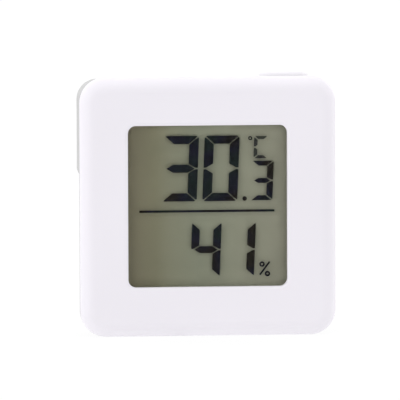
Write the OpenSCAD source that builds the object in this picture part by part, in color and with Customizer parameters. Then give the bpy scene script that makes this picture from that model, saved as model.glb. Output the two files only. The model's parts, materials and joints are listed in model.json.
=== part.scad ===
// Small thermo-hygrometer with a liquid crystal display, for a table or a wall.
// Millimetres, +Z up, front face towards -Y, origin under the middle of the case.
// Depths are counted from the front face towards the back.

/* [Window] */
// Width of the display window
window_w = 28; // [26:0.1:34]
// Height of the display window
window_h = 28.4; // [27:0.1:34]
// Offset of the window from the middle of the case, to the right
window_x = -0.2; // [-0.4:0.05:0.4]
// Corner radius of the window
window_r = 1.4; // [0.6:0.1:3]
// Width of the bevel round the front edge of the window
window_bevel = 0.5; // [0.2:0.05:0.8]
// Depth of that bevel
window_bevel_d = 0.15; // [0.1:0.05:0.3]

/* [Case] */
// Mean width of the frame beside the window
frame_side = 8.5; // [8:0.1:12]
// Height of the frame above the window
frame_top = 8.4; // [8:0.1:12]
// Height of the frame below the window
frame_bottom = 8.8; // [7.6:0.1:12]
// Corner radius of the case, seen from the front
corner_r = 4.5; // [3.8:0.1:6]
// Roll of the front edge
face_edge_r = 2.6; // [0.6:0.1:2.6]
// Roll of the back edge
back_edge_r = 1.2; // [0.4:0.1:1.8]
// Thickness of the side walls
wall = 1.4; // [1:0.1:1.8]
// Thickness of the front wall
face_wall = 1.2; // [1.2:0.1:2]
// Thickness of the back wall
back_wall = 1.4; // [1:0.1:2]
// Depth of the front case at its edge
skirt_d = 3; // [2.8:0.1:3.4]
// Thickness of the flange that closes the rear case against the front case
flange_t = 1.2; // [0.8:0.1:1.4]
// Width and depth of the groove along the parting line
parting_groove = 0.3; // [0.1:0.05:0.5]
// Thickness of the tongue that centres the rear case in the front case
tongue_t = 0.9; // [0.6:0.1:1.2]
// Step from the top of the front case down to the top of the rear case
rear_drop = 0.7; // [0.4:0.1:1]
// Radius of the upper corners of the rear case
rear_r = 3.6; // [3.2:0.1:4.2]
// Distance from the top of the front case to the slope under the rear case's full width
shoulder_h = 17.1; // [15.5:0.1:17.5]
// Height of that slope
slope_h = 3; // [2.6:0.1:3.6]
// Radius between the shoulder's flank and that slope
shoulder_r = 3.2; // [2:0.1:4]
// Corner radius of the narrow lower part of the rear case
tub_r = 3; // [2.4:0.1:4]
// Clearance between fixed pieces that slide together
fit = 0.1; // [0.05:0.05:0.2]
// Play between pieces that slide or turn on each other
play = 0.05; // [0.03:0.01:0.08]
// Least width of material between two cuts in the back
thin_wall = 0.5; // [0.4:0.05:0.8]

/* [Display] */
// Width of glass hidden behind the frame on each side
glass_margin = 1.5; // [1:0.1:2]
// Thickness of each glass
glass_t = 0.4; // [0.4:0.05:0.7]
// Height of the contact ledge along the lower edge of the front glass
ledge_h = 2.4; // [2:0.1:2.8]
// Thickness of the front film
film_t = 0.2; // [0.1:0.05:0.4]
// Glue line between film and glass
glue = 0.02; // [0.01:0.01:0.05]
// Distance of the edges of the films and the seal from the edge of the glass
film_inset = 0.3; // [0.1:0.1:0.6]
// Gap between the glasses
crystal_gap = 0.06; // [0.04:0.01:0.1]
// Thickness of a lit segment
segment_t = 0.03; // [0.02:0.01:0.03]
// Width of the seal between the glasses
seal_w = 0.7; // [0.4:0.1:0.9]
// Thickness of the reflector
reflector_t = 0.25; // [0.1:0.05:0.4]
// Thickness of the foam frame behind the window
gasket_t = 0.2; // [0.2:0.05:0.6]
// Width of the foam frame
gasket_w = 0.7; // [0.4:0.1:0.8]
// Distance of the foam frame from the window's edge
gasket_inset = 0.3; // [0.1:0.1:0.3]
// Thickness of the foam strip behind the display
cushion_t = 1.6; // [0.8:0.1:1.6]
// Height of the foam strip
cushion_h = 3; // [1.5:0.1:5]
// Height of the rubber connector strip
zebra_h = 1.8; // [1.2:0.1:2]
// Distance of the ends of the connector strip from the edge of the glass
zebra_inset = 2; // [1:0.1:4]
// Thickness of the rib that frames the glass
rib_t = 0.8; // [0.6:0.1:1]
// Clearance between the glass and its rib
rib_gap = 0.15; // [0.1:0.05:0.25]

/* [Readout] */
// Slant of the digits, degrees
slant = 2.3; // [0:0.1:8]
// Gap along the mitre between two segments
segment_gap = 0.14; // [0.06:0.02:0.2]
// Height of the large digits
large_h = 11.5; // [10:0.1:12]
// Width of the large digits
large_w = 6.15; // [5.5:0.05:6.4]
// Stroke of the large digits
large_stroke = 1.65; // [1:0.05:1.8]
// Stroke of the level segments as a share of the upright ones
level_share = 0.86; // [0.7:0.02:1]
// Distance from one large digit to the next
large_pitch = 7.15; // [6.8:0.05:7.4]
// Left edge of the first large digit, from the middle of the window
large_x = -7.96; // [-9:0.02:-7.6]
// Foot of the upper row, from the middle of the window
upper_row = 0.75; // [0.5:0.05:1.4]
// Height of the digit after the decimal dot
tenth_h = 6.94; // [6:0.02:7.2]
// Lift of that digit above the foot of the row
tenth_lift = 0.08; // [0:0.02:0.2]
// Width of the digit after the decimal dot
tenth_w = 3.85; // [3:0.05:4.2]
// Stroke of the digit after the decimal dot
tenth_stroke = 1.1; // [0.6:0.05:1.3]
// Stroke of its level segments as a share of the upright ones
tenth_share = 0.78; // [0.7:0.02:1]
// Left edge of the digit after the decimal dot
tenth_x = 7.67; // [7.6:0.01:8.2]
// Radius of the decimal dot
dot_r = 0.4; // [0.2:0.02:0.5]
// Height of the degree letter
unit_h = 3.9; // [3:0.1:4]
// Width of the degree letter
unit_w = 2.45; // [1.8:0.05:2.6]
// Drop of the degree letter and its ring below the top of the digits
unit_drop = 0.14; // [0:0.02:0.2]
// Stroke of the degree letter
unit_stroke = 0.62; // [0.3:0.02:0.7]
// Radius of the small rings
ring_r = 0.48; // [0.3:0.02:0.5]
// Line width of the small rings and the percent bar
line_w = 0.3; // [0.14:0.02:0.34]
// Lean of the percent bar, degrees
percent_lean = 37; // [20:1:45]
// Height of the lower digits
lower_h = 9.65; // [8:0.05:9.8]
// Width of the lower digits
lower_w = 5.2; // [4.6:0.1:5.4]
// Stroke of the lower digits
lower_stroke = 1.4; // [0.8:0.05:1.6]
// Distance from one lower digit to the next
lower_pitch = 6.04; // [5.8:0.01:6.2]
// Left edge of the first lower digit
lower_x = -3; // [-4:0.05:-2.6]
// Foot of the lower row, from the middle of the window
lower_row = -12.62; // [-12.8:0.01:-12]
// Length of the bar between the rows
bar_l = 23.8; // [20:0.1:25]
// Thickness of the bar between the rows
bar_t = 0.4; // [0.2:0.02:0.5]
// Height of the bar between the rows, from the middle of the window
bar_z = -1; // [-1.6:0.05:-0.2]

/* [Board] */
// Thickness of the circuit board
board_t = 1; // [0.8:0.1:1.6]
// Clearance between the edge of the board and the rear case
board_edge = 0.3; // [0.2:0.1:0.6]
// Gap between the board and the floor of the battery well
board_gap = 0.6; // [0.3:0.1:1]
// Radius of the resin drop over the controller
glob_r = 3.4; // [2.5:0.1:3.8]
// Height of the resin drop
glob_h = 1.2; // [0.8:0.1:1.6]
// Radius of the crystal can
crystal_r = 1; // [0.7:0.1:1.2]
// Length of the crystal can
crystal_l = 6; // [4:0.5:7]
// Length of a chip
chip_l = 1.6; // [1:0.2:1.8]
// Width of a chip
chip_w = 0.8; // [0.5:0.1:1]
// Height of a chip capacitor
capacitor_h = 0.8; // [0.5:0.1:1]
// Height of a chip resistor
resistor_h = 0.45; // [0.3:0.05:0.6]
// Distance from one chip to the next
chip_pitch = 1.9; // [1.4:0.1:2]
// Width of the humidity element
sensor_w = 3.8; // [3:0.1:4]
// Height of the humidity element
sensor_h = 5.8; // [4:0.1:6]
// Thickness of the humidity element
sensor_t = 0.65; // [0.4:0.05:1]
// Radius of the temperature bead
bead_r = 0.75; // [0.5:0.05:1]
// Length of the temperature bead
bead_l = 2.6; // [2:0.1:3]
// Radius of the leads of the temperature bead
lead_r = 0.2; // [0.15:0.05:0.3]

/* [Screws] */
// Radius of the case screws
case_screw_r = 0.85; // [0.7:0.05:1]
// Radius of the heads of the case screws
case_head_r = 1.5; // [1.2:0.05:1.6]
// Height of the heads of the case screws
case_head_h = 1.2; // [0.8:0.1:1.5]
// Radius of the front bosses for the case screws
case_boss_r = 1.7; // [1.5:0.1:1.9]
// Depth of board and rear post under the head of a case screw
case_clamp = 1.9; // [1.4:0.1:2.4]
// Distance of the case screws from the top
case_screw_drop = 6; // [5.6:0.1:6.4]
// Radius of the board screws
board_screw_r = 0.7; // [0.5:0.05:0.8]
// Radius of the heads of the board screws
board_head_r = 1.2; // [1:0.05:1.3]
// Height of the heads of the board screws
board_head_h = 0.9; // [0.6:0.1:1.2]
// Radius of the bosses for the board screws
board_boss_r = 1.3; // [1.2:0.05:1.4]
// Width of the cross recess in the heads
recess_w = 0.4; // [0.3:0.05:0.5]
// Depth of the cross recess
recess_d = 0.5; // [0.3:0.05:0.6]
// Length of the cross recess as a share of the head
recess_share = 0.66; // [0.5:0.02:0.8]
// Clearance round a screw in its pilot hole
thread_gap = 0.03; // [0.02:0.01:0.05]
// Clearance round a screw in its through hole
pass_gap = 0.15; // [0.1:0.05:0.25]

/* [Battery] */
// Diameter of the coin cell
cell_d = 20; // [16:0.5:20]
// Thickness of the coin cell
cell_t = 3.2; // [2.5:0.1:3.4]
// Diameter of the negative cap of the cell
cap_d = 17.4; // [12:0.2:17.6]
// Height of the negative cap of the cell
cap_h = 0.4; // [0.2:0.1:0.6]
// Edge bevel of the cell
cell_bevel = 0.25; // [0.1:0.05:0.4]
// Clearance round the cell
cell_gap = 0.3; // [0.2:0.05:0.5]
// Gap under the cell
cell_seat = 0.25; // [0.1:0.05:0.4]
// Thickness of the floor of the battery well
well_floor = 0.8; // [0.6:0.1:1.2]
// Thickness of the wall round the battery well
well_wall = 1.2; // [0.9:0.1:1.5]
// Gap between the cell and the door
door_gap = 0.4; // [0.3:0.05:0.8]
// Thickness of the door
door_t = 1.4; // [1.2:0.1:1.8]
// Thickness of the skirt of the door
door_skirt_t = 0.9; // [0.7:0.05:1.2]
// Clearance round the door
door_clear = 0.15; // [0.1:0.05:0.25]
// Width of the seat of the door outside the well
door_seat_w = 0.4; // [0.3:0.05:0.6]
// Thickness of the ledge that the lugs of the door hook under
door_ledge_t = 1; // [0.8:0.1:1.2]
// Thickness of the lugs
lug_t = 0.9; // [0.7:0.05:1.1]
// Reach of the lugs
lug_reach = 1.1; // [0.8:0.05:1.3]
// Angle that each lug covers
lug_angle = 38; // [24:1:42]
// Angle that the door turns to open
door_turn = 45; // [44:1:50]
// Length of the coin slot
coin_slot_l = 13; // [8:0.5:16]
// Width of the coin slot
coin_slot_w = 2; // [1.4:0.1:2.6]
// Depth of the coin slot
coin_slot_d = 0.8; // [0.4:0.1:0.9]
// Radius of the marks for the locked and the open door
mark_r = 0.5; // [0.3:0.05:0.6]
// Depth of those marks
mark_d = 0.25; // [0.15:0.05:0.4]
// Thickness of the contact leaves
leaf_t = 0.2; // [0.15:0.05:0.25]
// Width of the contact leaves
leaf_w = 3.4; // [2.4:0.2:4]

/* [Stand] */
// Thickness of the stand
stand_t = 2.4; // [2.2:0.1:2.8]
// Height of the cross bar of the stand
stand_bar_h = 5; // [4:0.1:5.6]
// Height of the stand above the table when it is folded
stand_lift = 0.6; // [0.4:0.1:1]
// Inner corner radius of the stand
stand_corner_r = 2; // [1:0.1:3]
// Clearance round the stand
stand_gap = 0.25; // [0.2:0.05:0.35]
// Diameter of the hinge pins
pin_d = 1.4; // [1.2:0.05:1.5]
// Length of the hinge pins
pin_l = 2; // [1.5:0.1:2.2]
// Radial clearance of the hinge pins
pin_clear = 0.05; // [0.03:0.01:0.08]
// Width of material between the battery well and the stand
hinge_web = 1.45; // [1.3:0.05:1.8]
// Wall under the stand
channel_wall = 1.2; // [0.9:0.1:1.4]
// Width of the nail notch in the cross bar
notch_w = 14; // [8:0.5:20]
// Depth of the nail notch
notch_d = 1.3; // [0.6:0.1:1.6]
// Length of the grip grooves on the cross bar
grip_l = 14; // [8:0.5:20]
// Width and depth of the grip grooves
grip_w = 0.5; // [0.3:0.05:0.7]

/* [Button] */
// Middle of the button, right of the middle of the case
button_x = 13.8; // [12.6:0.1:13.8]
// Width of the button
button_w = 8.6; // [6:0.1:8.8]
// Depth of the button
button_d = 3.6; // [3:0.1:4]
// Corner radius of the button
button_r = 1.6; // [1.3:0.1:1.7]
// Height of the button above the rear case
button_rise = 1.35; // [1.1:0.05:1.5]
// Roll of the button's upper edge
button_roll = 1; // [0.6:0.1:1.2]
// Clearance round the button
button_gap = 0.1; // [0.1:0.05:0.25]
// Width of the flange that keeps the button in the case
button_lip = 0.4; // [0.4:0.05:0.6]
// Thickness of that flange
button_lip_t = 0.7; // [0.5:0.05:0.8]
// Travel of the button
button_travel = 0.35; // [0.2:0.05:0.4]
// Width of the switch
switch_w = 4.6; // [4:0.1:4.8]
// Height of the switch
switch_h = 3.4; // [3:0.1:4]
// Depth of the switch
switch_d = 3.2; // [2.8:0.1:3.6]
// Width of the plunger of the switch
plunger_w = 2.2; // [1.6:0.1:2.6]
// Depth of the plunger
plunger_d = 1.2; // [0.8:0.1:1.4]
// Length of the plunger
plunger_l = 1.5; // [1.2:0.1:1.8]
// Clearance round the plunger
plunger_gap = 0.08; // [0.05:0.01:0.1]

/* [Openings] */
// Diameter of the entry of the keyhole
keyhole_d = 5.6; // [5:0.1:6]
// Width of the slot of the keyhole
keyhole_slot = 2.8; // [2.2:0.1:3]
// Rise of the slot above the entry
keyhole_rise = 3.6; // [3:0.1:3.8]
// Depth of the pocket behind the keyhole
keyhole_pocket = 2.2; // [1.6:0.1:2.6]
// Room in that pocket beside the entry
pocket_side = 0.7; // [0.5:0.1:1]
// Wall of that pocket
pocket_wall = 0.8; // [0.6:0.1:1]
// Number of vent slots in the right flank
vent_count = 5; // [3:1:5]
// Width of a vent slot
vent_w = 0.8; // [0.6:0.1:1]
// Length of a vent slot
vent_l = 4.6; // [3:0.1:5]
// Distance from one vent slot to the next
vent_pitch = 1.5; // [1.3:0.1:1.6]

/* [Hidden] */
$fn = 64;
cut = 0.5;

// Outline of the case and of the display
body_w = window_w + 2 * frame_side;
body_h = window_h + frame_top + frame_bottom;
rear_h = body_h - rear_drop;
window_z = frame_bottom + window_h / 2;
glass_hw = window_w / 2 + glass_margin;
glass_top = window_z + window_h / 2 + glass_margin;
ledge_top = window_z - window_h / 2 - glass_margin;
glass_foot = ledge_top - ledge_h;
display_h = glass_top - ledge_top;

// Depths, from the front face
gasket_at = face_wall;
film_at = gasket_at + gasket_t;
front_glass_at = film_at + film_t + glue;
crystal_at = front_glass_at + glass_t;
rear_glass_at = crystal_at + crystal_gap;
reflector_at = rear_glass_at + glass_t + glue;
cushion_at = reflector_at + reflector_t;
board_at = cushion_at + cushion_t;
board_back = board_at + board_t;
floor_at = board_back + board_gap;
floor_back = floor_at + well_floor;
cell_at = floor_back + cell_seat;
cell_back = cell_at + cell_t;
door_at = cell_back + door_gap;
body_d = door_at + door_t;
rim_at = skirt_d + parting_groove;
flange_back = skirt_d + flange_t;
case_seat = board_back + case_clamp;
pilot_at = face_wall + cut;
screw_tip = pilot_at + cut;

// Screw places and the narrow lower part of the rear case, outside the glass
case_screw_x = glass_hw + rib_gap + case_boss_r;
case_screw_z = body_h - case_screw_drop;
case_post_r = case_head_r + pass_gap + pocket_wall;
board_screw_x = glass_hw + rib_gap + board_boss_r;
board_screw_z = glass_foot + ledge_h / 2;
tub_hw = board_screw_x + board_boss_r + fit + wall;
lip_inset = wall + fit + tongue_t;

// Slope between the shoulder and the lower part
slope_top = body_h - shoulder_h;
slope_foot = slope_top - slope_h;
slope_run = body_w / 2 - tub_hw;
slope_rise = norm([slope_run, slope_h]) / slope_run;
slope_angle = atan2(slope_run, slope_h);

// Battery well and door, above the cross bar of the stand
bar_top = stand_lift + stand_bar_h;
skirt_ri = cell_d / 2 + cell_gap;
skirt_ro = skirt_ri + door_skirt_t;
ledge_ri = skirt_ro + door_clear;
lug_ro = skirt_ro + lug_reach;
well_ri = lug_ro + door_clear;
well_ro = well_ri + well_wall;
door_seat_r = well_ri + door_seat_w;
door_r = door_seat_r - door_clear;
ledge_back = door_at - play;
ledge_at = ledge_back - door_ledge_t;
lug_back = ledge_at - fit;
lug_at = lug_back - lug_t;
cell_z = bar_top + stand_gap + thin_wall + well_ro;
mark_ring = door_seat_r + thin_wall + mark_r;
pointer_ring = door_r - cell_bevel - thin_wall - mark_r;

// Stand
stand_at = body_d - stand_t;
channel_at = stand_at - stand_gap;
side_depth = channel_at - channel_wall;
leg_in = well_ro + hinge_web + stand_gap;
hinge_at = body_d - stand_t / 2;
channel_top = slope_foot - thin_wall;
hinge_z = channel_top - stand_gap - stand_t / 2;

// Button and switch
button_at = board_back + switch_d / 2;
lip_top = rear_h - wall - play;
lip_foot = lip_top - button_lip_t;
plunger_top = lip_foot - play;
switch_top = plunger_top - button_travel - 2 * play;
switch_x = case_screw_x - case_post_r - fit - switch_w / 2;
plunger_bore = plunger_l + button_travel;

// Keyhole and vents
keyhole_z = cell_z + well_ro + thin_wall + keyhole_d / 2;
pocket_hw = keyhole_d / 2 + pocket_side;
vent_top = case_screw_z - case_post_r;

// Places of the electronics on the back of the board
sensor_x = body_w / 2 - lip_inset - board_edge - pass_gap - sensor_w / 2;
sensor_z = case_screw_z - case_post_r - pass_gap - sensor_h / 2;
bead_x = sensor_x - sensor_w / 2 - pass_gap - 5 * lead_r - bead_l / 2;
glob_x = -pocket_hw - pocket_wall - fit - glob_r;
crystal_x = glob_x - glob_r - fit - crystal_r;
crystal_z = case_screw_z - case_post_r - fit - crystal_l / 2;
capacitor_x = pocket_hw + pocket_wall + fit + chip_l / 2;
chip_z = case_screw_z - 2 * chip_pitch;

// Outline in the face's plane, extruded from one depth to another
module slab(from, to) {
  translate([0, to - body_d / 2, 0])
    rotate([90, 0, 0])
      linear_extrude(to - from)
        children();
}

// Turned shape about an axis along the depth; radius and depth are the profile's axes
module turned(x, z, from_angle = 0, angle = 360) {
  translate([x, -body_d / 2, z])
    rotate([-90, 0, 0])
      rotate([0, 0, from_angle])
        rotate_extrude(angle = angle)
          children();
}

// Round bar along the depth
module rod(x, z, r, from, to) {
  translate([x, from - body_d / 2, z])
    rotate([-90, 0, 0])
      cylinder(r = r, h = to - from);
}

// Box between two widths, two depths and two heights
module block(x, t, z) {
  translate([x[0], t[0] - body_d / 2, z[0]])
    cube([x[1] - x[0], t[1] - t[0], z[1] - z[0]]);
}

module both_sides() {
  for (side = [0, 1])
    mirror([side, 0, 0])
      children();
}

module rounded(w, h, r) {
  square([w - 2 * r, h], center = true);
  square([w, h - 2 * r], center = true);
  for (x = [-1, 1], y = [-1, 1])
    translate([x * (w / 2 - r), y * (h / 2 - r)])
      circle(r);
}

// Slot with round ends along the second axis
module round_slot(w, l) {
  square([w, l - w], center = true);
  for (y = [-1, 1])
    translate([0, y * (l - w) / 2])
      circle(w / 2);
}

// Rounded rectangle swept from a half section that reads $half, with its depth along +Y
module swept(w, h, r) {
  for (x = [-1, 1], z = [-1, 1])
    translate([x * (w / 2 - r), 0, z * (h / 2 - r)])
      rotate([-90, 0, 0])
        rotate_extrude()
          let ($half = r)
            children();
  for (side = [0, 1]) {
    mirror([side, 0, 0])
      translate([0, 0, r - h / 2])
        linear_extrude(h - 2 * r)
          let ($half = w / 2)
            children();
    mirror([0, 0, side])
      translate([r - w / 2, 0, 0])
        rotate([0, 90, 0])
          linear_extrude(w - 2 * r)
            mirror([1, 0])
              let ($half = h / 2)
                children();
  }
}

// Half section with a rolled edge at its far end
module rolled_section(d, r) {
  difference() {
    square([$half, d]);
    translate([$half - r, d - r])
      difference() {
        square(2 * r);
        circle(r);
      }
  }
}

// Half section of a bevel that opens towards the front
module bevel_section(w, d) {
  polygon([[0, -d], [$half + 2 * w, -d], [$half, d], [0, d]]);
}

module case_plan(inset) {
  translate([0, body_h / 2])
    rounded(body_w - 2 * inset, body_h - 2 * inset, corner_r - inset);
}

// Outline of the rear case, with tighter corners at its lower top
module rear_plan(inset) {
  half = rear_h / 2;
  intersection() {
    translate([0, half])
      rounded(body_w - 2 * inset, rear_h - 2 * inset, rear_r - inset);
    translate([-body_w, half])
      square([2 * body_w, half + cut]);
  }
  intersection() {
    case_plan(inset);
    translate([-body_w, -cut])
      square([2 * body_w, half + 2 * cut]);
  }
}

module tub_plan(inset) {
  translate([0, rear_h / 2])
    rounded(2 * (tub_hw - inset), rear_h - 2 * inset, tub_r - inset);
}

module shoulder_zone(inset) {
  lift = inset * slope_rise;
  side = body_w / 2 + cut;
  step = lift + cut * slope_h / slope_run;
  polygon([
    [-tub_hw, slope_foot + lift],
    [tub_hw, slope_foot + lift],
    [side, slope_top + step],
    [side, body_h + cut],
    [-side, body_h + cut],
    [-side, slope_top + step]
  ]);
}

module shoulder_plan(inset) {
  intersection() {
    rear_plan(inset);
    shoulder_zone(inset);
  }
}

// What the rounding takes off between the shoulder's flank and its slope
module shoulder_corner() {
  reach = shoulder_r - play;
  translate([body_w / 2 - reach, slope_top + reach * tan(slope_angle / 2)])
    difference() {
      polygon(2 * shoulder_r * [[0, 0], [1, 0], [1, -tan(slope_angle)]]);
      circle(shoulder_r);
    }
}

// Outline of the glass grown by a margin
module glass_plan(grow) {
  translate([-glass_hw - grow, glass_foot - grow])
    square([2 * (glass_hw + grow), glass_top - glass_foot + 2 * grow]);
}

// Outline of the layers that stop above the contact ledge, drawn in by an inset
module layer_plan(inset) {
  translate([inset - glass_hw, ledge_top + inset])
    square([2 * (glass_hw - inset), display_h - 2 * inset]);
}

// Outline of the window grown by a margin
module window_plan(grow) {
  translate([window_x, window_z])
    rounded(window_w + 2 * grow, window_h + 2 * grow, window_r + grow);
}

// Back part of a case outline with its rolled edge
module back_block(w, r) {
  translate([0, rim_at - body_d / 2, rear_h / 2])
    swept(w, rear_h, r)
      rolled_section(body_d - rim_at, back_edge_r);
}

module front_case() {
  color("white")
    difference() {
      union() {
        difference() {
          translate([0, skirt_d - body_d / 2, body_h / 2])
            mirror([0, 1, 0])
              swept(body_w, body_h, corner_r)
                rolled_section(skirt_d, face_edge_r);
          slab(face_wall, skirt_d + cut)
            case_plan(wall);
        }
        slab(face_wall - cut, reflector_at)
          difference() {
            glass_plan(rib_gap + rib_t);
            glass_plan(rib_gap);
          }
        both_sides() {
          rod(case_screw_x, case_screw_z, case_boss_r, face_wall - cut, board_at);
          rod(board_screw_x, board_screw_z, board_boss_r, face_wall - cut, board_at);
        }
      }
      slab(-cut, face_wall + cut)
        window_plan(0);
      translate([window_x, -body_d / 2, window_z])
        swept(window_w, window_h, window_r)
          bevel_section(window_bevel, window_bevel_d);
      both_sides() {
        rod(case_screw_x, case_screw_z, case_screw_r + thread_gap, pilot_at, board_at + cut);
        rod(board_screw_x, board_screw_z, board_screw_r + thread_gap, pilot_at, board_at + cut);
      }
    }
}

// Outer shape of the rear case before it is hollowed
module rear_shape() {
  slab(skirt_d, rim_at + cut)
    rear_plan(parting_groove);
  slab(rim_at, flange_back)
    rear_plan(0);
  back_block(2 * tub_hw, tub_r);
  intersection() {
    back_block(body_w, rear_r);
    slab(skirt_d, body_d + cut)
      difference() {
        shoulder_zone(0);
        both_sides()
          shoulder_corner();
      }
  }
}

module rear_hollow() {
  slab(skirt_d - cut, side_depth)
    tub_plan(wall);
  slab(skirt_d - cut, flange_back + cut)
    shoulder_plan(lip_inset);
  slab(flange_back, body_d - back_wall)
    shoulder_plan(wall);
}

// Space that the stand folds into
module stand_channel() {
  slab(channel_at, body_d + cut)
    difference() {
      translate([-body_w, -cut])
        square([2 * body_w, channel_top + cut]);
      translate([0, bar_top + stand_gap + body_h / 2])
        rounded(2 * (leg_in - stand_gap), body_h, stand_corner_r - stand_gap);
    }
  both_sides()
    translate([leg_in - stand_gap - pin_l, hinge_at - body_d / 2, hinge_z])
      rotate([0, 90, 0])
        cylinder(d = pin_d + 2 * pin_clear, h = pin_l + cut);
}

// Hollow of the battery well with the bayonet ledge for the door
module well_hollow() {
  turned(0, cell_z)
    polygon([
      [0, floor_back], [well_ri, floor_back], [well_ri, ledge_at], [ledge_ri, ledge_at],
      [ledge_ri, ledge_back], [door_seat_r, ledge_back], [door_seat_r, body_d + cut], [0, body_d + cut]
    ]);
  for (lug = [0 : 2])
    turned(0, cell_z, lug * 120 + door_turn - lug_angle / 2 - 2, lug_angle + 4)
      translate([skirt_ri, ledge_at - cut])
        square([lug_ro + door_clear / 2 - skirt_ri, door_ledge_t + 2 * cut]);
}

// Passages of the contact leaves through the floor of the battery well
module leaf_passages() {
  side = leaf_w / 2 + cell_gap;
  block([-side, side], [floor_at - cut, floor_back + cut], [cell_z - cap_d / 4, cell_z + cap_d / 4]);
  block(
    [-cell_d / 2 - 2 * leaf_t - cell_gap, -cell_d / 2 + cell_gap],
    [floor_at - cut, floor_back + cut],
    [cell_z - side, cell_z + side]
  );
}

module keyhole_cut() {
  slab(body_d - back_wall - cut, body_d + cut) {
    translate([0, keyhole_z])
      circle(keyhole_d / 2);
    translate([0, keyhole_z + keyhole_rise / 2])
      round_slot(keyhole_slot, keyhole_rise + keyhole_slot);
  }
  block(
    [-pocket_hw, pocket_hw],
    [body_d - back_wall - keyhole_pocket, body_d - back_wall],
    [keyhole_z - pocket_hw, keyhole_z + keyhole_rise + keyhole_slot / 2 + fit]
  );
}

// Round mark on the back, at an angle from the top of the door
module back_mark(angle, ring, r) {
  rod(ring * sin(angle), cell_z + ring * cos(angle), r, body_d - mark_d, body_d + cut);
}

// A dot where the door is locked and a ring where it is open
module lock_marks() {
  back_mark(-door_turn / 2, mark_ring, mark_r);
  difference() {
    back_mark(door_turn / 2, mark_ring, mark_r);
    back_mark(door_turn / 2, mark_ring, mark_r / 2);
  }
}

module vent_cuts() {
  for (row = [0 : vent_count - 1])
    translate([body_w / 2 - wall - cut, (flange_back - back_wall) / 2, vent_top - row * vent_pitch])
      rotate([0, 90, 0])
        linear_extrude(wall + 2 * cut)
          round_slot(vent_w, vent_l);
}

module button_slot() {
  translate([button_x, button_at - body_d / 2, rear_h - wall - cut])
    linear_extrude(wall + 2 * cut)
      rounded(button_w + 2 * button_gap, button_d + 2 * button_gap, button_r + button_gap);
}

module rear_case() {
  color("gainsboro")
    difference() {
      union() {
        difference() {
          rear_shape();
          rear_hollow();
        }
        slab(face_wall + pass_gap, rim_at)
          difference() {
            case_plan(wall + fit);
            case_plan(lip_inset);
          }
        rod(0, cell_z, well_ro, floor_at, body_d);
        both_sides()
          rod(case_screw_x, case_screw_z, case_post_r, board_back, body_d - back_wall + fit);
        block(
          [-pocket_hw - pocket_wall, pocket_hw + pocket_wall],
          [body_d - back_wall - keyhole_pocket - pocket_wall, body_d - back_wall + fit],
          [cell_z + well_ri, rear_h - wall + fit]
        );
      }
      stand_channel();
      well_hollow();
      leaf_passages();
      keyhole_cut();
      lock_marks();
      vent_cuts();
      button_slot();
      both_sides() {
        rod(case_screw_x, case_screw_z, case_screw_r + pass_gap, board_back - cut, body_d);
        rod(case_screw_x, case_screw_z, case_head_r + pass_gap, case_seat, body_d + cut);
      }
    }
}

module battery_door() {
  color("gainsboro")
    difference() {
      union() {
        turned(0, cell_z)
          polygon([
            [0, door_at], [skirt_ri, door_at], [skirt_ri, lug_at - fit], [skirt_ro, lug_at - fit],
            [skirt_ro, door_at], [door_r, door_at], [door_r, body_d - cell_bevel],
            [door_r - cell_bevel, body_d], [0, body_d]
          ]);
        for (lug = [0 : 2]) {
          turned(0, cell_z, lug * 120 - lug_angle / 2, lug_angle)
            translate([skirt_ro - fit, lug_at])
              square([lug_reach + fit, lug_t]);
          turned(0, cell_z, lug * 120 - lug_angle / 2, lug_angle)
            translate([skirt_ri / 2, cell_back + play])
              square([leaf_w / 2, door_gap]);
        }
      }
      slab(body_d - coin_slot_d, body_d + cut)
        translate([0, cell_z])
          rotate(90)
            round_slot(coin_slot_w, coin_slot_l);
      back_mark(-door_turn / 2, pointer_ring, mark_r);
    }
}

module stand() {
  color("gainsboro")
    difference() {
      union() {
        intersection() {
          back_block(2 * tub_hw, tub_r);
          union() {
            slab(stand_at, body_d + cut)
              difference() {
                translate([-body_w, stand_lift])
                  square([2 * body_w, hinge_z - stand_lift]);
                translate([0, bar_top + body_h / 2])
                  rounded(2 * leg_in, body_h, stand_corner_r);
              }
            both_sides()
              translate([leg_in, hinge_at - body_d / 2, hinge_z])
                rotate([0, 90, 0])
                  cylinder(d = stand_t, h = body_w / 2);
          }
        }
        both_sides()
          translate([leg_in - pin_l, hinge_at - body_d / 2, hinge_z])
            rotate([0, 90, 0])
              cylinder(d = pin_d, h = pin_l + cut);
      }
      translate([-notch_w / 2, stand_at - body_d / 2, stand_lift])
        rotate([90, 0, 90])
          linear_extrude(notch_w)
            polygon([[-cut, -cut], [notch_d, -cut], [-cut, notch_d]]);
      for (row = [1 : 3])
        block(
          [-grip_l / 2, grip_l / 2],
          [body_d - grip_w, body_d + cut],
          [stand_lift + row * stand_bar_h / 4 - grip_w / 2, stand_lift + row * stand_bar_h / 4 + grip_w / 2]
        );
    }
}

module button_cap() {
  color("white") {
    translate([button_x, button_at - body_d / 2, lip_foot])
      rotate([90, 0, 0])
        swept(button_w, button_d, button_r)
          rolled_section(rear_h + button_rise - lip_foot, button_roll);
    translate([button_x, button_at - body_d / 2, lip_foot])
      linear_extrude(button_lip_t)
        rounded(button_w + 2 * button_lip, button_d + 2 * button_lip, button_r + button_lip);
  }
}

module lcd_gasket() {
  color("dimgray")
    slab(gasket_at, film_at)
      difference() {
        window_plan(gasket_inset + gasket_w);
        window_plan(gasket_inset);
      }
}

module lcd_front_polariser() {
  color("darkolivegreen", 0.3)
    slab(film_at, film_at + film_t)
      layer_plan(film_inset);
}

module lcd_front_glass() {
  color("lightcyan", 0.3)
    slab(front_glass_at, crystal_at)
      glass_plan(0);
}

module lcd_rear_glass() {
  color("lightcyan", 0.3)
    slab(rear_glass_at, rear_glass_at + glass_t)
      layer_plan(0);
}

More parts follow.
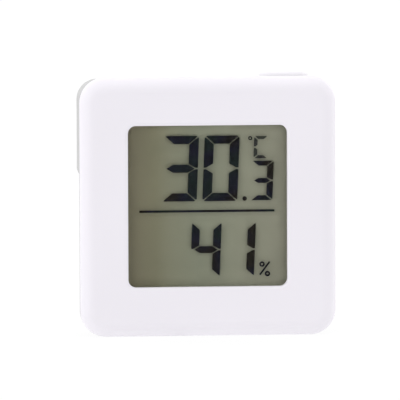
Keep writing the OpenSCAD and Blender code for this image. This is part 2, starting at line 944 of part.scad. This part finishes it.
module lcd_edge_seal() {
  color("gray")
    slab(crystal_at, rear_glass_at)
      difference() {
        layer_plan(film_inset);
        layer_plan(film_inset + seal_w);
      }
}

module lcd_reflector() {
  color([0.5, 0.5, 0.42])
    slab(reflector_at, cushion_at)
      layer_plan(film_inset);
}

// Points of one digit segment; the mitres run at the slope of the strokes, and the outer corners are nicked
function nick_of(v) = max(v / 4, 2 * segment_gap);
function side_segment(w, h, v, s) =
  let (nick = nick_of(v), mid = h / 2, gap = segment_gap, x = (nick - gap) / (1 + s / v))
  [
    [0, h - nick], [x, h - nick + x], [v, h - s - gap],
    [v, mid + s / 2 + gap], [nick, mid + gap], [0, mid + gap]
  ];
function top_segment(w, h, v, s) =
  let (nick = nick_of(v), gap = segment_gap, x = (nick + gap * s / v) / (1 + s / v))
  [
    [nick, h], [w - nick, h], [w - x, h - nick + x], [w - v - gap, h - s],
    [v + gap, h - s], [x, h - nick + x]
  ];
function middle_segment(w, h, v, s) =
  let (tip = v / 5 + 2 * segment_gap, mid = h / 2, gap = segment_gap)
  [
    [tip, mid], [v + gap, mid + s / 2], [w - v - gap, mid + s / 2],
    [w - tip, mid], [w - v - gap, mid - s / 2], [v + gap, mid - s / 2]
  ];
function flip_x(points, w) = [for (p = points) [w - p[0], p[1]]];
function flip_y(points, h) = [for (p = points) [p[0], h - p[1]]];
function lean(points) = [for (p = points) [p[0] + p[1] * tan(slant), p[1]]];
function segment(name, w, h, v, s) =
  name == "a" ? top_segment(w, h, v, s)
  : name == "b" ? flip_x(side_segment(w, h, v, s), w)
  : name == "c" ? flip_y(flip_x(side_segment(w, h, v, s), w), h)
  : name == "d" ? flip_y(top_segment(w, h, v, s), h)
  : name == "e" ? flip_y(side_segment(w, h, v, s), h)
  : name == "f" ? side_segment(w, h, v, s)
  : middle_segment(w, h, v, s);

// Place on the display, from the middle of the window
module on_window(x, z) {
  translate([window_x + x, window_z + z])
    children();
}

// Lit segments of one digit, with its left foot at a place on the window
module digit(x, z, w, h, stroke, lit, share = level_share) {
  on_window(x, z)
    for (name = lit)
      polygon(lean(segment(name, w, h, stroke, stroke * share)));
}

module ring(x, z, r, line) {
  on_window(x, z)
    difference() {
      circle(r);
      circle(r - line);
    }
}

module in_crystal() {
  color("black")
    slab(crystal_at + (crystal_gap - segment_t) / 2, crystal_at + (crystal_gap + segment_t) / 2)
      children();
}

module lcd_temperature_digits() {
  dot_x = (large_x + large_pitch + large_w + tenth_x + nick_of(tenth_stroke)) / 2;
  unit_x = tenth_x + tenth_stroke / 2;
  unit_top = upper_row + large_h - unit_drop;
  degree_r = 3 * ring_r / 4;
  degree_line = 2 * line_w / 3;
  in_crystal() {
    digit(large_x, upper_row, large_w, large_h, large_stroke, ["a", "b", "c", "d", "g"]);
    digit(large_x + large_pitch, upper_row, large_w, large_h, large_stroke, ["a", "b", "c", "d", "e", "f"]);
    digit(
      tenth_x, upper_row + tenth_lift, tenth_w, tenth_h, tenth_stroke,
      ["a", "b", "c", "d", "g"], tenth_share
    );
    digit(unit_x, unit_top - unit_h, unit_w, unit_h, unit_stroke, ["a", "d", "e", "f"]);
    on_window(dot_x, upper_row + dot_r)
      circle(dot_r);
    ring(unit_x - degree_r - degree_line, unit_top - degree_r, degree_r, degree_line);
  }
}

module lcd_humidity_digits() {
  one_x = lower_x + lower_pitch;
  percent_x = one_x + lower_w + 4 * ring_r;
  percent_z = lower_row + 3 * ring_r;
  in_crystal() {
    digit(lower_x, lower_row, lower_w, lower_h, lower_stroke, ["b", "c", "f", "g"]);
    digit(one_x, lower_row, lower_w, lower_h, lower_stroke, ["b", "c"]);
    ring(percent_x - ring_r, percent_z + 1.5 * ring_r, ring_r, line_w);
    ring(percent_x + ring_r, percent_z - 2 * ring_r, ring_r, line_w);
    on_window(percent_x, percent_z)
      rotate(-percent_lean)
        square([line_w, 6 * ring_r], center = true);
  }
}

module lcd_divider_bar() {
  in_crystal()
    on_window(0, bar_z)
      square([bar_l, bar_t], center = true);
}

module lcd_cushion() {
  color("dimgray")
    block(
      [zebra_inset - glass_hw, glass_hw - zebra_inset],
      [cushion_at, board_at],
      [glass_top - film_inset - cushion_h, glass_top - film_inset]
    );
}

module zebra_connector() {
  color("dimgray")
    block(
      [zebra_inset - glass_hw, glass_hw - zebra_inset],
      [crystal_at, board_at],
      [board_screw_z - zebra_h / 2, board_screw_z + zebra_h / 2]
    );
}

// Outline of the board, whose upper edge stays under the flange of the button
module board_plan() {
  shoulder_plan(lip_inset + board_edge);
  intersection() {
    tub_plan(wall + board_edge);
    translate([-body_w / 2, 0])
      square([body_w, case_screw_z]);
  }
}

module main_board() {
  color("seagreen")
    slab(board_at, board_back)
      difference() {
        board_plan();
        for (x = [-1, 1]) {
          translate([x * case_screw_x, case_screw_z])
            circle(case_screw_r + pass_gap);
          translate([x * board_screw_x, board_screw_z])
            circle(board_screw_r + pass_gap);
        }
      }
}

module controller_glob() {
  ball_r = (glob_r * glob_r + glob_h * glob_h) / (2 * glob_h);
  color("black")
    intersection() {
      translate([glob_x, board_back + glob_h - ball_r - body_d / 2, case_screw_z - pass_gap])
        sphere(ball_r, $fn = 4 * $fn);
      rod(glob_x, case_screw_z - pass_gap, 2 * glob_r, board_back, board_back + 2 * glob_h);
    }
}

module timing_crystal() {
  color("silver")
    translate([crystal_x, board_back + crystal_r - body_d / 2, crystal_z - crystal_l / 2])
      cylinder(r = crystal_r, h = crystal_l);
}

// Row of chips on the back of the board
module chips(x, z, count, h) {
  for (i = [0 : count - 1])
    block(
      [x - chip_l / 2, x + chip_l / 2],
      [board_back, board_back + h],
      [z + i * chip_pitch - chip_w / 2, z + i * chip_pitch + chip_w / 2]
    );
}

module chip_capacitors() {
  color("tan")
    chips(capacitor_x, chip_z, 3, capacitor_h);
}

module chip_resistors() {
  color("black")
    chips(capacitor_x + chip_l + chip_w, chip_z, 2, resistor_h);
}

module humidity_sensor() {
  color("wheat")
    block(
      [sensor_x - sensor_w / 2, sensor_x + sensor_w / 2],
      [board_back, board_back + sensor_t],
      [sensor_z - sensor_h / 2, sensor_z + sensor_h / 2]
    );
}

module thermistor() {
  axis_at = board_back + bead_r + lead_r;
  post = 1.5 * lead_r;
  color("orange") {
    translate([bead_x - bead_l / 2, axis_at - body_d / 2, sensor_z])
      rotate([0, 90, 0])
        cylinder(r = bead_r, h = bead_l);
    for (side = [-1, 1]) {
      foot_x = bead_x + side * (bead_l / 2 + 3 * lead_r);
      block(
        [foot_x - post, foot_x + post],
        [board_back, axis_at + post],
        [sensor_z - post, sensor_z + post]
      );
      translate([min(foot_x, bead_x), axis_at - body_d / 2, sensor_z])
        rotate([0, 90, 0])
          cylinder(r = lead_r, h = abs(foot_x - bead_x));
    }
  }
}

module switch_body() {
  color("black")
    difference() {
      block(
        [switch_x - switch_w / 2, switch_x + switch_w / 2],
        [board_back, board_back + switch_d],
        [switch_top - switch_h, switch_top]
      );
      block(
        [switch_x - plunger_w / 2 - plunger_gap, switch_x + plunger_w / 2 + plunger_gap],
        [button_at - plunger_d / 2 - plunger_gap, button_at + plunger_d / 2 + plunger_gap],
        [plunger_top - plunger_bore - play, switch_top + cut]
      );
    }
}

module switch_plunger() {
  color("ivory")
    block(
      [switch_x - plunger_w / 2, switch_x + plunger_w / 2],
      [button_at - plunger_d / 2, button_at + plunger_d / 2],
      [plunger_top - plunger_l, plunger_top]
    );
}

module coin_cell() {
  color("silver")
    turned(0, cell_z)
      polygon([
        [0, cell_at], [cap_d / 2, cell_at], [cap_d / 2, cell_at + cap_h],
        [cell_d / 2 - cell_bevel, cell_at + cap_h], [cell_d / 2, cell_at + cap_h + cell_bevel],
        [cell_d / 2, cell_back - cell_bevel], [cell_d / 2 - cell_bevel, cell_back], [0, cell_back]
      ]);
}

// Leaf from a pad on the board up to the cap of the cell
module negative_contact() {
  top_at = cell_at - glue - leaf_t;
  foot = -cap_d / 4 + cell_gap;
  color("silver")
    translate([-leaf_w / 2, -body_d / 2, cell_z])
      rotate([90, 0, 90])
        linear_extrude(leaf_w)
          polygon([
            [board_back, foot], [board_back + leaf_t, foot], [board_back + leaf_t, foot / 2],
            [top_at + leaf_t, -foot / 2], [top_at + leaf_t, -foot], [top_at, -foot],
            [top_at, -foot / 2 + leaf_t], [board_back, foot / 2 + leaf_t]
          ]);
}

// Upright leaf beside the can of the cell, with its foot on the board
module positive_contact() {
  side = -cell_d / 2 - glue;
  across = [cell_z - leaf_w / 2, cell_z + leaf_w / 2];
  color("silver") {
    block([side - leaf_t, side], [board_back, lug_at - cell_gap], across);
    block([side - leaf_w, side], [board_back, board_back + leaf_t], across);
  }
}

// Screw along the depth with its cross recess towards the back
module screw(x, z, r, head_r, head_h, seat) {
  head_back = seat + head_h;
  difference() {
    union() {
      rod(x, z, r, screw_tip, seat + head_h / 2);
      rod(x, z, head_r, seat, head_back);
    }
    for (turn = [0, 90])
      translate([x, head_back - body_d / 2, z])
        rotate([0, turn, 0])
          cube([2 * head_r * recess_share, 2 * recess_d, recess_w], center = true);
  }
}

module case_screws() {
  color("silver")
    both_sides()
      screw(case_screw_x, case_screw_z, case_screw_r, case_head_r, case_head_h, case_seat);
}

module board_screws() {
  color("silver")
    both_sides()
      screw(board_screw_x, board_screw_z, board_screw_r, board_head_r, board_head_h, board_back);
}

front_case();
rear_case();
battery_door();
stand();
button_cap();
lcd_gasket();
lcd_front_polariser();
lcd_front_glass();
lcd_edge_seal();
lcd_temperature_digits();
lcd_humidity_digits();
lcd_divider_bar();
lcd_rear_glass();
lcd_reflector();
lcd_cushion();
zebra_connector();
main_board();
controller_glob();
timing_crystal();
chip_capacitors();
chip_resistors();
humidity_sensor();
thermistor();
switch_body();
switch_plunger();
coin_cell();
negative_contact();
positive_contact();
case_screws();
board_screws();
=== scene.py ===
import json
import math

import bpy
from mathutils import Matrix, Vector


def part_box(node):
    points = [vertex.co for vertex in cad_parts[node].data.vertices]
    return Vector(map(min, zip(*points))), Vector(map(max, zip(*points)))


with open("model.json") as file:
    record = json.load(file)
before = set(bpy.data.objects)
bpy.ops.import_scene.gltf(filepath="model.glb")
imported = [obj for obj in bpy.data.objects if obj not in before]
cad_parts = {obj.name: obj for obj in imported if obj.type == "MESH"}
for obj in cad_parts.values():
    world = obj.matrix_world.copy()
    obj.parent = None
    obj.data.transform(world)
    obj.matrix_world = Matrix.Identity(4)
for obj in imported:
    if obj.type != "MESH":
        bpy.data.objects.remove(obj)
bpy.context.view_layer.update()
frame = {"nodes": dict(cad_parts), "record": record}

MICRON = 1e-6
WHITE = (1.0, 1.0, 1.0, 1.0)

# Camera: the photograph is taken from a little to the left and a little above.
FRAME_PX = 400
CAMERA_YAW = math.radians(4.8)
CAMERA_PITCH = math.radians(4.8)
CAMERA_ROLL = math.radians(0.2)
CAMERA_DISTANCE = 0.95
CAMERA_CLIP_START = 0.01
PX_PER_M = 5711.0
WINDOW_PX = (207.95, 206.38)
SENSOR_MM = 36.0

# Light: a white studio that is brighter behind the object, and three soft lamps.
AMBIENT_FRONT = 0.58
AMBIENT_BACK = 1.34
LAMPS = {
    "key": {"power": 0.72, "angle": math.radians(30), "from": Vector((-0.903, -0.421, 0.087))},
    "overhead": {"power": 0.61, "angle": math.radians(60), "from": Vector((0.0, -0.174, 0.985))},
    "rim": {"power": 0.37, "angle": math.radians(60), "from": Vector((0.925, -0.337, 0.174))},
}

# Most clear faces that a ray may pass in the layers of the display.
CLEAR_BOUNCES = 32

# Table: a large white sheet with a glow of its own.
FLOOR_SIDE = 6.0
FLOOR_TONES = (0.08, 0.084)
FLOOR_TONE_SCALE = 3.0
FLOOR_GLOW = 0.92
FLOOR_ROUGHNESS = 0.9

# The part of the noise's range that most of its values fall in.
NOISE_SPAN = (0.3, 0.7)

# Shares of the base tone in the dark and light lines of brushed metal, and the soft edge between two bands.
BRUSH_TONES = (0.9, 1.06)
BAND_EDGE = (0.45, 0.55)

# Rear film of the display, with painted light and shade: darker and warmer to the left, and lighter at its
# margins and in the band above the digits, where the frame and the digits shade it. Places are shares of the
# gasket's box, from the left or from below.
FILM_PAINTED_LIGHT_ACROSS = [
    (0.0, (0.47, 0.43, 0.28)),
    (0.06, (0.385, 0.355, 0.23)),
    (0.2, (0.38, 0.37, 0.235)),
    (0.28, (0.42, 0.425, 0.29)),
    (0.45, (0.435, 0.46, 0.33)),
    (0.93, (0.535, 0.535, 0.4)),
]
FILM_PAINTED_LIGHT_UPRIGHT = [(0.0, 1.0), (0.06, 0.77), (0.15, 0.65), (0.84, 0.69), (0.94, 0.81)]
FILM_PAINTED_LIGHT_OVER_DIGITS = [(0.16, 0.0), (0.3, 0.12), (0.62, 0.12), (0.7, 0.0)]
FILM_PAINTED_LIGHT_TOP_BAND = [(0.88, 0.0), (0.92, 1.0)]
FLAKE_TONES = (0.93, 1.0)

# Lit segments: the drift of their tone, and the unit letter as shares of the upper row's box.
SEGMENT_DRIFT = [
    (0.36, (0.0120, 0.0095, 0.0070)),
    (0.5, (0.0085, 0.0088, 0.0190)),
    (0.64, (0.0090, 0.0150, 0.0150)),
]
UNIT_FROM_LEFT = [(0.806, 0.0), (0.814, 1.0)]
UNIT_FROM_BELOW = [(0.62, (0.0, 0.0, 0.0)), (0.64, (0.034, 0.033, 0.024))]


def shader_of(name):
    """A new material with its node tree and Principled shader."""
    material = bpy.data.materials.new(name)
    material.use_nodes = True
    tree = material.node_tree
    shader = tree.nodes["Principled BSDF"]
    return material, tree, shader


def place_node(tree):
    """Coordinates in metres, fixed to the piece."""
    return tree.nodes.new("ShaderNodeTexCoord").outputs["Object"]


def noise(tree, scale, detail=2.0):
    """Cloudy 0 to 1 texture, its scale in cells per metre."""
    node = tree.nodes.new("ShaderNodeTexNoise")
    node.inputs["Scale"].default_value = scale
    node.inputs["Detail"].default_value = detail
    tree.links.new(place_node(tree), node.inputs["Vector"])
    return node.outputs["Fac"]


def stripes(tree, axis, scale, distortion=0.0):
    """Soft 0 to 1 bands across an axis."""
    node = tree.nodes.new("ShaderNodeTexWave")
    node.wave_type = "BANDS"
    node.bands_direction = axis
    node.inputs["Scale"].default_value = scale
    node.inputs["Distortion"].default_value = distortion
    tree.links.new(place_node(tree), node.inputs["Vector"])
    return node.outputs["Fac"]


def grey(tone):
    return (tone, tone, tone)


def greys(stops):
    """Stops of a ramp with plain tones in place of colours."""
    return [(position, grey(tone)) for position, tone in stops]


def shade(colour, factor):
    """A lighter or darker colour."""
    return tuple(min(1.0, channel * factor) for channel in colour)


def ramp(tree, source, stops):
    """Colour ramp from (position, colour) stops."""
    node = tree.nodes.new("ShaderNodeValToRGB")
    ends = node.color_ramp.elements
    while len(ends) < len(stops):
        ends.new(0.5)
    for end, (position, colour) in zip(ends, stops):
        end.position = position
        end.color = (*colour, 1.0)
    tree.links.new(source, node.inputs["Fac"])
    return node.outputs["Color"]


def spread(tree, source, low, high):
    """Maps a 0 to 1 texture onto a range."""
    node = tree.nodes.new("ShaderNodeMapRange")
    node.inputs["To Min"].default_value = low
    node.inputs["To Max"].default_value = high
    tree.links.new(source, node.inputs["Value"])
    return node.outputs["Result"]


def along(tree, axis, low, high):
    """Share of the way between two places along an axis."""
    split = tree.nodes.new("ShaderNodeSeparateXYZ")
    tree.links.new(place_node(tree), split.inputs["Vector"])
    share = tree.nodes.new("ShaderNodeMapRange")
    share.inputs["From Min"].default_value = low
    share.inputs["From Max"].default_value = high
    tree.links.new(split.outputs[axis], share.inputs["Value"])
    return share.outputs["Result"]


def combine(tree, kind, first, second):
    """Two colours multiplied or added."""
    node = tree.nodes.new("ShaderNodeMix")
    node.data_type = "RGBA"
    node.blend_type = kind
    node.inputs["Factor"].default_value = 1.0
    tree.links.new(first, node.inputs["A"])
    tree.links.new(second, node.inputs["B"])
    return node.outputs["Result"]


def bump(tree, shader, source, strength, depth):
    """Fine relief from a texture, its depth in metres."""
    node = tree.nodes.new("ShaderNodeBump")
    node.inputs["Strength"].default_value = strength
    node.inputs["Distance"].default_value = depth
    tree.links.new(source, node.inputs["Height"])
    tree.links.new(node.outputs["Normal"], shader.inputs["Normal"])


def mottled(name, colour, tone_spread, tone_scale, roughness, grain_scale, grain_depth, specular=0.5):
    """A surface whose tone and roughness wander a little, with a fine grain."""
    material, tree, shader = shader_of(name)
    low, high = NOISE_SPAN
    tone = noise(tree, tone_scale, detail=3.0)
    stops = [(low, shade(colour, 1 - tone_spread)), (high, shade(colour, 1 + tone_spread))]
    tree.links.new(ramp(tree, tone, stops), shader.inputs["Base Color"])
    grain = noise(tree, grain_scale)
    tree.links.new(spread(tree, grain, *roughness), shader.inputs["Roughness"])
    bump(tree, shader, grain, strength=0.35, depth=grain_depth)
    shader.inputs["Specular IOR Level"].default_value = specular
    return material


def moulded(name, colour, specular):
    """ABS with the fine spark texture of its mould and a little light inside it."""
    material = mottled(
        name,
        colour,
        tone_spread=0.008,
        tone_scale=60.0,
        roughness=(0.42, 0.55),
        grain_scale=6500.0,
        grain_depth=6 * MICRON,
        specular=specular,
    )
    shader = material.node_tree.nodes["Principled BSDF"]
    shader.inputs["Subsurface Weight"].default_value = 0.06
    shader.inputs["Subsurface Radius"].default_value = (0.0012, 0.0011, 0.0012)
    return material


def clear(name, colour, alpha, roughness):
    """A clear layer of the display."""
    material, tree, shader = shader_of(name)
    grain = noise(tree, scale=4000.0, detail=1.0)
    tree.links.new(spread(tree, grain, *roughness), shader.inputs["Roughness"])
    shader.inputs["Base Color"].default_value = (*colour, 1.0)
    shader.inputs["Alpha"].default_value = alpha
    shader.inputs["IOR"].default_value = 1.5
    return material


def brushed(name, colour, axis, roughness):
    """Metal with a drawn grain along one axis."""
    material, tree, shader = shader_of(name)
    lines = stripes(tree, axis, scale=2600.0, distortion=9.0)
    dark, light = (shade(colour, tone) for tone in BRUSH_TONES)
    tree.links.new(ramp(tree, lines, [(0.0, dark), (1.0, light)]), shader.inputs["Base Color"])
    tree.links.new(spread(tree, lines, *roughness), shader.inputs["Roughness"])
    bump(tree, shader, lines, strength=0.2, depth=4 * MICRON)
    shader.inputs["Metallic"].default_value = 1.0
    return material


def banded(name, dark, light, axis, scale, roughness):
    """Alternating bands of two tones."""
    material, tree, shader = shader_of(name)
    bands = stripes(tree, axis, scale)
    stops = list(zip(BAND_EDGE, (dark, light)))
    tree.links.new(ramp(tree, bands, stops), shader.inputs["Base Color"])
    grain = noise(tree, scale=3000.0)
    tree.links.new(spread(tree, grain, *roughness), shader.inputs["Roughness"])
    bump(tree, shader, bands, strength=0.3, depth=10 * MICRON)
    return material


def reflector_film(name):
    """Grey-olive rear film with fine flakes; painted shade makes it darker and warmer to the left, and
    painted light makes it lighter where the frame and digits shade it.
    """
    material, tree, shader = shader_of(name)
    low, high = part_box("lcd_gasket")
    to_right = along(tree, "X", low.x, high.x)
    to_top = along(tree, "Z", low.z, high.z)
    # Painted light: lifts the film in the band above the digits, where the frame and the digits shade it.
    painted_light_over_digits = ramp(tree, to_right, greys(FILM_PAINTED_LIGHT_OVER_DIGITS))
    painted_light_top_band = ramp(tree, to_top, greys(FILM_PAINTED_LIGHT_TOP_BAND))
    painted_lift = combine(tree, "MULTIPLY", painted_light_over_digits, painted_light_top_band)
    # Painted light: the upright ramp lifts the film's bottom and top margins, where the frame shades them.
    light = combine(tree, "ADD", ramp(tree, to_top, greys(FILM_PAINTED_LIGHT_UPRIGHT)), painted_lift)
    # Painted shade: the film is darker and warmer to the left, with painted light at the very left edge, in
    # the frame's shadow.
    tone = combine(tree, "MULTIPLY", ramp(tree, to_right, FILM_PAINTED_LIGHT_ACROSS), light)
    flakes = noise(tree, scale=5200.0)
    grain = ramp(tree, flakes, greys(zip(NOISE_SPAN, FLAKE_TONES)))
    tree.links.new(combine(tree, "MULTIPLY", tone, grain), shader.inputs["Base Color"])
    tree.links.new(spread(tree, flakes, low=0.55, high=0.7), shader.inputs["Roughness"])
    shader.inputs["Specular IOR Level"].default_value = 0.2
    bump(tree, shader, flakes, strength=0.15, depth=3 * MICRON)
    return material


def board_laminate(name):
    """Green solder mask with faint tracks under it."""
    material, tree, shader = shader_of(name)
    tracks = tree.nodes.new("ShaderNodeTexBrick")
    tracks.inputs["Scale"].default_value = 190.0
    tracks.inputs["Mortar Size"].default_value = 0.03
    tracks.inputs["Color1"].default_value = (0.012, 0.125, 0.052, 1.0)
    tracks.inputs["Color2"].default_value = (0.015, 0.145, 0.060, 1.0)
    tracks.inputs["Mortar"].default_value = (0.045, 0.230, 0.105, 1.0)
    turn = tree.nodes.new("ShaderNodeMapping")
    turn.inputs["Rotation"].default_value = (math.radians(90), 0.0, 0.0)
    tree.links.new(place_node(tree), turn.inputs["Vector"])
    tree.links.new(turn.outputs["Vector"], tracks.inputs["Vector"])
    tree.links.new(tracks.outputs["Color"], shader.inputs["Base Color"])
    grain = noise(tree, scale=2500.0)
    tree.links.new(spread(tree, grain, low=0.28, high=0.4), shader.inputs["Roughness"])
    bump(tree, shader, tracks.outputs["Fac"], strength=0.3, depth=20 * MICRON)
    return material


def lit_segment(name):
    """Dark crystal, with the brown, blue and green drift of a twisted cell, and a paler unit letter."""
    material, tree, shader = shader_of(name)
    drift = ramp(tree, noise(tree, scale=190.0, detail=1.0), SEGMENT_DRIFT)
    low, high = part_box("lcd_temperature_digits")
    right_of_digits = ramp(tree, along(tree, "X", low.x, high.x), greys(UNIT_FROM_LEFT))
    above_tenths = ramp(tree, along(tree, "Z", low.z, high.z), UNIT_FROM_BELOW)
    paler = combine(tree, "MULTIPLY", right_of_digits, above_tenths)
    tree.links.new(combine(tree, "ADD", drift, paler), shader.inputs["Base Color"])
    grain = noise(tree, scale=4000.0)
    tree.links.new(spread(tree, grain, low=0.55, high=0.7), shader.inputs["Roughness"])
    shader.inputs["Specular IOR Level"].default_value = 0.0
    return material


# Looks by material slot: the function that makes one, and its settings.
LOOKS = {
    "case_plastic": (moulded, dict(colour=(0.858, 0.832, 0.887), specular=0.35)),
    # The rear plastic's grey is in part painted shade, darkened to stand in for the shade on the rear
    # shell's flank.
    "rear_plastic": (moulded, dict(colour=(0.522, 0.520, 0.523), specular=0.12)),
    "button_plastic": (moulded, dict(colour=(0.880, 0.862, 0.900), specular=0.35)),
    "display_film": (clear, dict(colour=(0.02, 0.02, 0.018), alpha=0.05, roughness=(0.18, 0.26))),
    "display_glass": (clear, dict(colour=(0.02, 0.03, 0.025), alpha=0.012, roughness=(0.02, 0.05))),
    "lit_segment": (lit_segment, {}),
    "seal_resin": (mottled, dict(
        colour=(0.42, 0.42, 0.38),
        tone_spread=0.06,
        tone_scale=400.0,
        roughness=(0.4, 0.55),
        grain_scale=3000.0,
        grain_depth=5 * MICRON,
    )),
    "reflector_film": (reflector_film, {}),
    "foam": (mottled, dict(
        colour=(0.030, 0.030, 0.031),
        tone_spread=0.25,
        tone_scale=2500.0,
        roughness=(0.85, 0.95),
        grain_scale=3500.0,
        grain_depth=60 * MICRON,
        specular=0.2,
    )),
    "zebra_rubber": (banded, dict(
        dark=(0.03, 0.03, 0.032),
        light=(0.16, 0.15, 0.15),
        axis="X",
        scale=1800.0,
        roughness=(0.5, 0.65),
    )),
    "board_laminate": (board_laminate, {}),
    "black_resin": (mottled, dict(
        colour=(0.010, 0.010, 0.011),
        tone_spread=0.15,
        tone_scale=300.0,
        roughness=(0.18, 0.3),
        grain_scale=900.0,
        grain_depth=20 * MICRON,
    )),
    "can_steel": (brushed, dict(colour=(0.64, 0.64, 0.62), axis="Z", roughness=(0.18, 0.32))),
    "chip_ceramic": (mottled, dict(
        colour=(0.36, 0.26, 0.16),
        tone_spread=0.08,
        tone_scale=900.0,
        roughness=(0.5, 0.65),
        grain_scale=4000.0,
        grain_depth=6 * MICRON,
    )),
    "chip_glaze": (mottled, dict(
        colour=(0.018, 0.018, 0.020),
        tone_spread=0.1,
        tone_scale=900.0,
        roughness=(0.25, 0.4),
        grain_scale=4000.0,
        grain_depth=4 * MICRON,
    )),
    "sensor_ceramic": (banded, dict(
        dark=(0.12, 0.11, 0.10),
        light=(0.74, 0.72, 0.66),
        axis="Z",
        scale=420.0,
        roughness=(0.5, 0.7),
    )),
    "bead_epoxy": (mottled, dict(
        colour=(0.020, 0.020, 0.021),
        tone_spread=0.15,
        tone_scale=500.0,
        roughness=(0.2, 0.32),
        grain_scale=1200.0,
        grain_depth=10 * MICRON,
    )),
    "switch_plastic": (mottled, dict(
        colour=(0.022, 0.022, 0.023),
        tone_spread=0.12,
        tone_scale=300.0,
        roughness=(0.45, 0.6),
        grain_scale=5000.0,
        grain_depth=6 * MICRON,
    )),
    "plunger_plastic": (mottled, dict(
        colour=(0.66, 0.63, 0.54),
        tone_spread=0.03,
        tone_scale=300.0,
        roughness=(0.4, 0.55),
        grain_scale=5000.0,
        grain_depth=6 * MICRON,
    )),
    "cell_steel": (brushed, dict(colour=(0.66, 0.65, 0.63), axis="X", roughness=(0.2, 0.36))),
    "spring_steel": (brushed, dict(colour=(0.60, 0.58, 0.54), axis="Z", roughness=(0.25, 0.4))),
    "screw_steel": (brushed, dict(colour=(0.46, 0.46, 0.47), axis="X", roughness=(0.28, 0.44))),
}
MATERIALS = {slot: make(slot, **settings) for slot, (make, settings) in LOOKS.items()}

for part in frame["record"]["subparts"]:
    node = frame["nodes"][part["node"]]
    node.data.materials.clear()
    node.data.materials.append(MATERIALS[part["material_slot"]])


def add_floor():
    """The table under the object."""
    half = FLOOR_SIDE / 2
    mesh = bpy.data.meshes.new("floor")
    corners = [(-half, -half, 0.0), (half, -half, 0.0), (half, half, 0.0), (-half, half, 0.0)]
    mesh.from_pydata(corners, [], [(0, 1, 2, 3)])
    floor = bpy.data.objects.new("floor", mesh)
    bpy.context.scene.collection.objects.link(floor)
    material, tree, shader = shader_of("floor")
    tone = ramp(tree, noise(tree, FLOOR_TONE_SCALE), greys(zip(NOISE_SPAN, FLOOR_TONES)))
    tree.links.new(tone, shader.inputs["Base Color"])
    shader.inputs["Emission Color"].default_value = WHITE
    shader.inputs["Emission Strength"].default_value = FLOOR_GLOW
    shader.inputs["Roughness"].default_value = FLOOR_ROUGHNESS
    shader.inputs["Specular IOR Level"].default_value = 0.0
    mesh.materials.append(material)


def add_lamp(name, setting):
    """A distant lamp, its angle the width of its disc in the sky."""
    light = bpy.data.lights.new(name, "SUN")
    light.energy = setting["power"]
    light.angle = setting["angle"]
    lamp = bpy.data.objects.new(name, light)
    lamp.rotation_euler = setting["from"].to_track_quat("Z", "Y").to_euler()
    bpy.context.scene.collection.objects.link(lamp)


def add_ambience():
    """White light from all round, its strength rising from the front to the back."""
    world = bpy.data.worlds.new("studio")
    world.use_nodes = True
    tree = world.node_tree
    background = tree.nodes["Background"]
    background.inputs["Color"].default_value = WHITE
    split = tree.nodes.new("ShaderNodeSeparateXYZ")
    tree.links.new(tree.nodes.new("ShaderNodeTexCoord").outputs["Generated"], split.inputs["Vector"])
    depth = tree.nodes.new("ShaderNodeMapRange")
    depth.inputs["From Min"].default_value = -1.0
    depth.inputs["To Min"].default_value = AMBIENT_FRONT
    depth.inputs["To Max"].default_value = AMBIENT_BACK
    tree.links.new(split.outputs["Y"], depth.inputs["Value"])
    tree.links.new(depth.outputs["Result"], background.inputs["Strength"])
    bpy.context.scene.world = world


def add_camera():
    """Puts the middle of the display, on the front plane, at its place in the picture."""
    low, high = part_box("lcd_gasket")
    window_middle = Vector(((low.x + high.x) / 2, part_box("front_case")[0].y, (low.z + high.z) / 2))
    away = Vector((
        -math.sin(CAMERA_YAW) * math.cos(CAMERA_PITCH),
        -math.cos(CAMERA_YAW) * math.cos(CAMERA_PITCH),
        math.sin(CAMERA_PITCH),
    ))
    level = Vector((math.cos(CAMERA_YAW), -math.sin(CAMERA_YAW), 0.0))
    right = level * math.cos(CAMERA_ROLL) - away.cross(level) * math.sin(CAMERA_ROLL)
    up = away.cross(right)
    half = FRAME_PX / 2
    target = window_middle + (right * (half - WINDOW_PX[0]) + up * (WINDOW_PX[1] - half)) / PX_PER_M
    data = bpy.data.cameras.new("camera")
    data.sensor_width = SENSOR_MM
    data.lens = PX_PER_M * CAMERA_DISTANCE * SENSOR_MM / FRAME_PX
    data.clip_start = CAMERA_CLIP_START
    camera = bpy.data.objects.new("camera", data)
    camera.location = target + away * CAMERA_DISTANCE
    camera.rotation_euler = Matrix((right, up, away)).transposed().to_euler()
    bpy.context.scene.collection.objects.link(camera)
    bpy.context.scene.camera = camera


add_floor()
for lamp_name, lamp_setting in LAMPS.items():
    add_lamp(lamp_name, lamp_setting)
add_ambience()
add_camera()
bpy.context.scene.view_settings.view_transform = "Standard"
bpy.context.scene.cycles.transparent_max_bounces = CLEAR_BOUNCES
